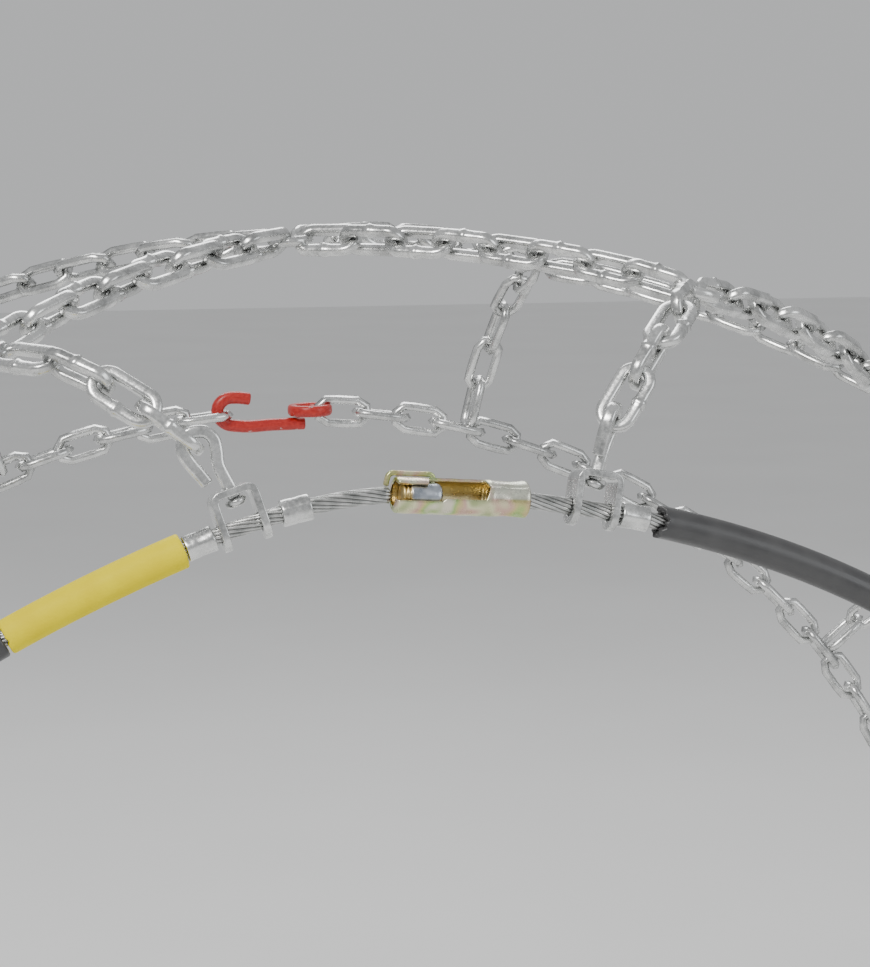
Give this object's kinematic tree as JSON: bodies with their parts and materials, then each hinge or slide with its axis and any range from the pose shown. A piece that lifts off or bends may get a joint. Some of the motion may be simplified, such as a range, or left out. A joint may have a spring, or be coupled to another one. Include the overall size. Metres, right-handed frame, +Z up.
{
  "type": "tire snow chains",
  "caption": "Snow chain for one car wheel: cable hoop with a snap coupler, swivel eyes, link arms, diamond tread net and an outer side chain with a tension lock.",
  "frame": {"origin": "centre of the wheel and tyre that the chain is fitted on", "axes": "+Y along the axle towards the wheel's outer side, +Z up, +X right as seen from the inner side, where the cable hoop is"},
  "size_m": [0.6544, 0.2358, 0.6572],
  "materials": {
    "zinc_steel": "bright galvanised, slightly mottled",
    "cable_steel": "galvanised stranded cable",
    "yellow_zinc": "yellow zinc passivation, iridescent",
    "grey_sheath": "semi-gloss dark grey vinyl sheath",
    "yellow_sleeve": "glossy yellow vinyl sleeve",
    "red_coat": "red dip coating"
  },
  "bodies": {
    "root": {"sheath_1": "grey_sheath", "sheath_2": "grey_sheath", "sheath_3": "grey_sheath", "sheath_4": "grey_sheath", "sheath_5": "grey_sheath", "sheath_6": "grey_sheath", "sheath_7": "grey_sheath", "sheath_8": "grey_sheath", "sheath_9": "grey_sheath", "marker_sleeve": "yellow_sleeve", "ferrule_outer_left": "zinc_steel", "ferrule_inner_left": "zinc_steel", "ferrule_right": "zinc_steel", "hoop_cable": "cable_steel", "coupler_plug": "zinc_steel", "tread_chain_1": "zinc_steel", "tread_chain_2": "zinc_steel", "side_chain": "zinc_steel", "tension_lock": "zinc_steel"},
    "coupler": {"coupler_housing": "yellow_zinc", "cable_right_end": "cable_steel"},
    "bracket_1": {"bracket_1": "zinc_steel"},
    "swivel_eye_1": {"swivel_eye_1": "zinc_steel"},
    "bracket_2": {"bracket_2": "zinc_steel"},
    "swivel_eye_2": {"swivel_eye_2": "zinc_steel"},
    "bracket_3": {"bracket_3": "zinc_steel"},
    "swivel_eye_3": {"swivel_eye_3": "zinc_steel"},
    "bracket_4": {"bracket_4": "zinc_steel"},
    "swivel_eye_4": {"swivel_eye_4": "zinc_steel"},
    "bracket_5": {"bracket_5": "zinc_steel"},
    "swivel_eye_5": {"swivel_eye_5": "zinc_steel"},
    "bracket_6": {"bracket_6": "zinc_steel"},
    "swivel_eye_6": {"swivel_eye_6": "zinc_steel"},
    "bracket_7": {"bracket_7": "zinc_steel"},
    "swivel_eye_7": {"swivel_eye_7": "zinc_steel"},
    "bracket_8": {"bracket_8": "zinc_steel"},
    "swivel_eye_8": {"swivel_eye_8": "zinc_steel"},
    "bracket_9": {"bracket_9": "zinc_steel"},
    "swivel_eye_9": {"swivel_eye_9": "zinc_steel"},
    "bracket_10": {"bracket_10": "zinc_steel"},
    "swivel_eye_10": {"swivel_eye_10": "zinc_steel"},
    "left_arm_link_1": {"left_arm_link_1": "zinc_steel"},
    "left_arm_link_2": {"left_arm_link_2": "zinc_steel"},
    "left_arm_link_3": {"left_arm_link_3": "zinc_steel"},
    "right_arm_link_1": {"right_arm_link_1": "zinc_steel"},
    "right_arm_link_2": {"right_arm_link_2": "zinc_steel"},
    "right_arm_link_3": {"right_arm_link_3": "zinc_steel"},
    "arm_2": {"arm_2": "zinc_steel"},
    "arm_3": {"arm_3": "zinc_steel"},
    "arm_4": {"arm_4": "zinc_steel"},
    "arm_5": {"arm_5": "zinc_steel"},
    "arm_6": {"arm_6": "zinc_steel"},
    "arm_7": {"arm_7": "zinc_steel"},
    "arm_8": {"arm_8": "zinc_steel"},
    "arm_9": {"arm_9": "zinc_steel"},
    "closing_hook": {"closing_hook": "red_coat"},
    "lock_cam": {"lock_cam": "red_coat"},
    "tension_chain": {"tension_chain": "zinc_steel"},
    "tension_hook": {"tension_hook": "red_coat"}
  },
  "joints": [
    {"name": "coupler_slide", "type": "hinge", "parent": "root", "child": "coupler", "pos_m": [-0.0298, -0.112, -0.0812], "axis": [0, -1, 0], "range_deg": [0, 1.1]},
    {"name": "bracket_1_tilt", "type": "hinge", "parent": "root", "child": "bracket_1", "pos_m": [0.03673, -0.112, 0.25809], "axis": [0.9822, 0, -0.1876], "range_deg": [-1, 3.5]},
    {"name": "swivel_eye_1_turn", "type": "hinge", "parent": "bracket_1", "child": "swivel_eye_1", "pos_m": [0.0387, -0.11052, 0.2684], "axis": [0.3535, 0.1371, 0.9253], "range_deg": [-6, 6]},
    {"name": "bracket_2_tilt", "type": "hinge", "parent": "root", "child": "bracket_2", "pos_m": [0.19989, -0.112, 0.16595], "axis": [0.6388, 0, -0.7694], "range_deg": [-2, 10]},
    {"name": "swivel_eye_2_turn", "type": "hinge", "parent": "bracket_2", "child": "swivel_eye_2", "pos_m": [0.20797, -0.11052, 0.17266], "axis": [0.7619, 0.1392, 0.6326], "range_deg": [-15, 15]},
    {"name": "bracket_3_tilt", "type": "hinge", "parent": "root", "child": "bracket_3", "pos_m": [0.25926, -0.112, 0.01677], "axis": [0.0645, 0, -0.9979], "range_deg": [-2, 10]},
    {"name": "swivel_eye_3_turn", "type": "hinge", "parent": "bracket_3", "child": "swivel_eye_3", "pos_m": [0.26973, -0.11052, 0.01744], "axis": [0.9882, 0.1392, 0.0639], "range_deg": [-15, 15]},
    {"name": "bracket_4_tilt", "type": "hinge", "parent": "root", "child": "bracket_4", "pos_m": [0.2196, -0.112, -0.13882], "axis": [-0.5344, 0, -0.8453], "range_deg": [-2, 10]},
    {"name": "swivel_eye_4_turn", "type": "hinge", "parent": "bracket_4", "child": "swivel_eye_4", "pos_m": [0.22847, -0.11052, -0.14443], "axis": [0.837, 0.1392, -0.5291], "range_deg": [-15, 15]},
    {"name": "bracket_5_tilt", "type": "hinge", "parent": "root", "child": "bracket_5", "pos_m": [0.09606, -0.112, -0.24139], "axis": [-0.9291, 0, -0.3698], "range_deg": [-2, 10]},
    {"name": "swivel_eye_5_turn", "type": "hinge", "parent": "bracket_5", "child": "swivel_eye_5", "pos_m": [0.09994, -0.11052, -0.25114], "axis": [0.3662, 0.1392, -0.9201], "range_deg": [-15, 15]},
    {"name": "bracket_6_tilt", "type": "hinge", "parent": "root", "child": "bracket_6", "pos_m": [-0.06417, -0.112, -0.25175], "axis": [-0.969, 0, 0.247], "range_deg": [-2, 10]},
    {"name": "swivel_eye_6_turn", "type": "hinge", "parent": "bracket_6", "child": "swivel_eye_6", "pos_m": [-0.06676, -0.11052, -0.26192], "axis": [-0.2446, 0.1392, -0.9596], "range_deg": [-15, 15]},
    {"name": "bracket_7_tilt", "type": "hinge", "parent": "root", "child": "bracket_7", "pos_m": [-0.19989, -0.112, -0.16595], "axis": [-0.6388, 0, 0.7694], "range_deg": [-2, 10]},
    {"name": "swivel_eye_7_turn", "type": "hinge", "parent": "bracket_7", "child": "swivel_eye_7", "pos_m": [-0.20797, -0.11052, -0.17266], "axis": [-0.7619, 0.1392, -0.6326], "range_deg": [-15, 15]},
    {"name": "bracket_8_tilt", "type": "hinge", "parent": "root", "child": "bracket_8", "pos_m": [-0.25926, -0.112, -0.01677], "axis": [-0.0645, 0, 0.9979], "range_deg": [-2, 10]},
    {"name": "swivel_eye_8_turn", "type": "hinge", "parent": "bracket_8", "child": "swivel_eye_8", "pos_m": [-0.26973, -0.11052, -0.01744], "axis": [-0.9882, 0.1392, -0.0639], "range_deg": [-15, 15]},
    {"name": "bracket_9_tilt", "type": "hinge", "parent": "root", "child": "bracket_9", "pos_m": [-0.2196, -0.112, 0.13882], "axis": [0.5344, 0, 0.8453], "range_deg": [-2, 10]},
    {"name": "swivel_eye_9_turn", "type": "hinge", "parent": "bracket_9", "child": "swivel_eye_9", "pos_m": [-0.22847, -0.11052, 0.14443], "axis": [-0.837, 0.1392, 0.5291], "range_deg": [-15, 15]},
    {"name": "bracket_10_tilt", "type": "hinge", "parent": "root", "child": "bracket_10", "pos_m": [-0.05751, -0.112, 0.25727], "axis": [0.9543, 0, 0.2989], "range_deg": [-1, 3.5]},
    {"name": "swivel_eye_10_turn", "type": "hinge", "parent": "bracket_10", "child": "swivel_eye_10", "pos_m": [-0.06064, -0.11052, 0.26729], "axis": [-0.4101, 0.1381, 0.9015], "range_deg": [-6, 1.5]},
    {"name": "left_arm_swing", "type": "hinge", "parent": "root", "child": "left_arm_link_3", "pos_m": [-0.10272, -0.09221, 0.29917], "axis": [0.9458, 0, 0.3247], "range_deg": [-2.45, 0.7]},
    {"name": "left_link_2_twist", "type": "hinge", "parent": "left_arm_link_3", "child": "left_arm_link_2", "pos_m": [-0.0862, -0.10305, 0.29063], "axis": [-0.7766, 0.3779, 0.5041], "range_deg": [-5, 5]},
    {"name": "left_link_1_twist", "type": "hinge", "parent": "left_arm_link_2", "child": "left_arm_link_1", "pos_m": [-0.07539, -0.10715, 0.28288], "axis": [-0.7695, 0.2084, 0.6037], "range_deg": [-2, 2]},
    {"name": "right_arm_swing", "type": "hinge", "parent": "root", "child": "right_arm_link_3", "pos_m": [0.06858, -0.09107, 0.30955], "axis": [0.9763, 0, -0.2163], "range_deg": [-2.45, 0.7]},
    {"name": "right_link_2_twist", "type": "hinge", "parent": "right_arm_link_3", "child": "right_arm_link_2", "pos_m": [0.05563, -0.10323, 0.29753], "axis": [0.6041, 0.4123, 0.682], "range_deg": [-5, 5]},
    {"name": "right_link_1_twist", "type": "hinge", "parent": "right_arm_link_2", "child": "right_arm_link_1", "pos_m": [0.04729, -0.10789, 0.2874], "axis": [0.5885, 0.2546, 0.7673], "range_deg": [-2, 2]},
    {"name": "arm_2_swing", "type": "hinge", "parent": "root", "child": "arm_2", "pos_m": [0.245, -0.08805, 0.2034], "axis": [0.6388, 0, -0.7694], "range_deg": [-7, 1.4]},
    {"name": "arm_3_swing", "type": "hinge", "parent": "root", "child": "arm_3", "pos_m": [0.31776, -0.08805, 0.02055], "axis": [0.0645, 0, -0.9979], "range_deg": [-7, 1.4]},
    {"name": "arm_4_swing", "type": "hinge", "parent": "root", "child": "arm_4", "pos_m": [0.26915, -0.08805, -0.17015], "axis": [-0.5344, 0, -0.8453], "range_deg": [-7, 1.4]},
    {"name": "arm_5_swing", "type": "hinge", "parent": "root", "child": "arm_5", "pos_m": [0.11894, -0.08877, -0.29645], "axis": [-0.9281, 0, -0.3724], "range_deg": [-7, 1.4]},
    {"name": "arm_6_swing", "type": "hinge", "parent": "root", "child": "arm_6", "pos_m": [-0.07865, -0.08805, -0.30856], "axis": [-0.969, 0, 0.247], "range_deg": [-7, 1.4]},
    {"name": "arm_7_swing", "type": "hinge", "parent": "root", "child": "arm_7", "pos_m": [-0.245, -0.08805, -0.2034], "axis": [-0.6388, 0, 0.7694], "range_deg": [-7, 1.4]},
    {"name": "arm_8_swing", "type": "hinge", "parent": "root", "child": "arm_8", "pos_m": [-0.31776, -0.08805, -0.02055], "axis": [-0.0645, 0, 0.9979], "range_deg": [-7, 1.4]},
    {"name": "arm_9_swing", "type": "hinge", "parent": "root", "child": "arm_9", "pos_m": [-0.26915, -0.08805, 0.17015], "axis": [0.5344, 0, 0.8453], "range_deg": [-7, 1.4]},
    {"name": "closing_hook_swing", "type": "hinge", "parent": "root", "child": "closing_hook", "pos_m": [0.00857, 0.111, 0.26213], "axis": [0, -1, 0], "range_deg": [0, 60]},
    {"name": "lock_cam_turn", "type": "hinge", "parent": "root", "child": "lock_cam", "pos_m": [-0.08075, 0.111, -0.22222], "axis": [0, 1, 0], "range_deg": [0, 26]},
    {"name": "tension_chain_swing", "type": "hinge", "parent": "root", "child": "tension_chain", "pos_m": [-0.06748, 0.111, -0.21855], "axis": [0, 1, 0], "range_deg": [0, 25]},
    {"name": "tension_hook_turn", "type": "hinge", "parent": "tension_chain", "child": "tension_hook", "pos_m": [-0.18952, 0.111, -0.1443], "axis": [0, 1, 0], "range_deg": [-20, 20]}
  ],
  "couplings": [
    {"joint": "left_arm_swing", "follows": "bracket_10_tilt", "ratio": -0.7},
    {"joint": "right_arm_swing", "follows": "bracket_1_tilt", "ratio": -0.7},
    {"joint": "arm_2_swing", "follows": "bracket_2_tilt", "ratio": -0.7},
    {"joint": "arm_3_swing", "follows": "bracket_3_tilt", "ratio": -0.7},
    {"joint": "arm_4_swing", "follows": "bracket_4_tilt", "ratio": -0.7},
    {"joint": "arm_5_swing", "follows": "bracket_5_tilt", "ratio": -0.7},
    {"joint": "arm_6_swing", "follows": "bracket_6_tilt", "ratio": -0.7},
    {"joint": "arm_7_swing", "follows": "bracket_7_tilt", "ratio": -0.7},
    {"joint": "arm_8_swing", "follows": "bracket_8_tilt", "ratio": -0.7},
    {"joint": "arm_9_swing", "follows": "bracket_9_tilt", "ratio": -0.7}
  ]
}
